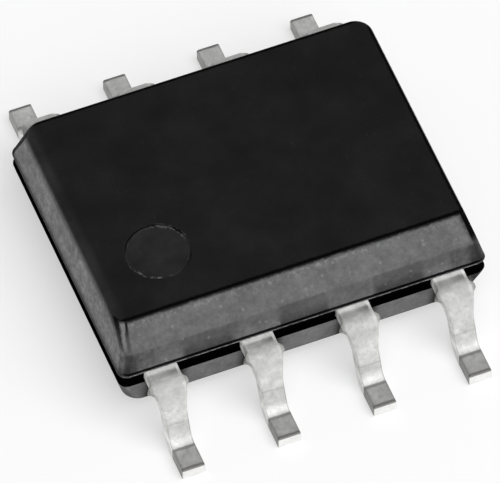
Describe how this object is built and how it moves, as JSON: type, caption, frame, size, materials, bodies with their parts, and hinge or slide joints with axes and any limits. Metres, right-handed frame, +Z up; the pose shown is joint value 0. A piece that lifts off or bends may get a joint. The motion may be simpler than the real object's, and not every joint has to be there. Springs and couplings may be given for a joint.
{
  "type": "optocoupler",
  "caption": "Small-outline surface-mount optocoupler: black moulded block with one bevelled long edge, a round mark at one corner and gull-wing leads along both long sides.",
  "frame": {"origin": "on the plane that the feet stand on, under the middle of the moulding", "axes": "+X along the rows of leads, from lead 1 to lead 4; +Y across the rows, from the bevelled side with leads 1 to 4 to the side with leads 5 to 8; +Z up"},
  "size_m": [0.0048, 0.006, 0.0014],
  "materials": {
    "black_epoxy": "fine spark-eroded matt",
    "tinned_copper": "matt tin plating",
    "gold": "drawn wire",
    "emitter_crystal": "sawn and polished",
    "silicon": "polished",
    "silver_epoxy": "silver-filled adhesive",
    "clear_silicone": "clear gel",
    "white_coat": "white matt"
  },
  "bodies": {
    "root": {"moulding": "black_epoxy", "lead_1": "tinned_copper", "lead_2": "tinned_copper", "lead_3": "tinned_copper", "lead_4": "tinned_copper", "lead_5": "tinned_copper", "lead_6": "tinned_copper", "lead_7": "tinned_copper", "lead_8": "tinned_copper", "emitter_die": "emitter_crystal", "emitter_attach": "silver_epoxy", "emitter_wire": "gold", "detector_die": "silicon", "detector_attach": "silver_epoxy", "output_wire": "gold", "enable_wire": "gold", "supply_wire": "gold", "ground_wire": "gold", "coupling_gel": "clear_silicone", "reflector_coat": "white_coat"}
  },
  "joints": []
}
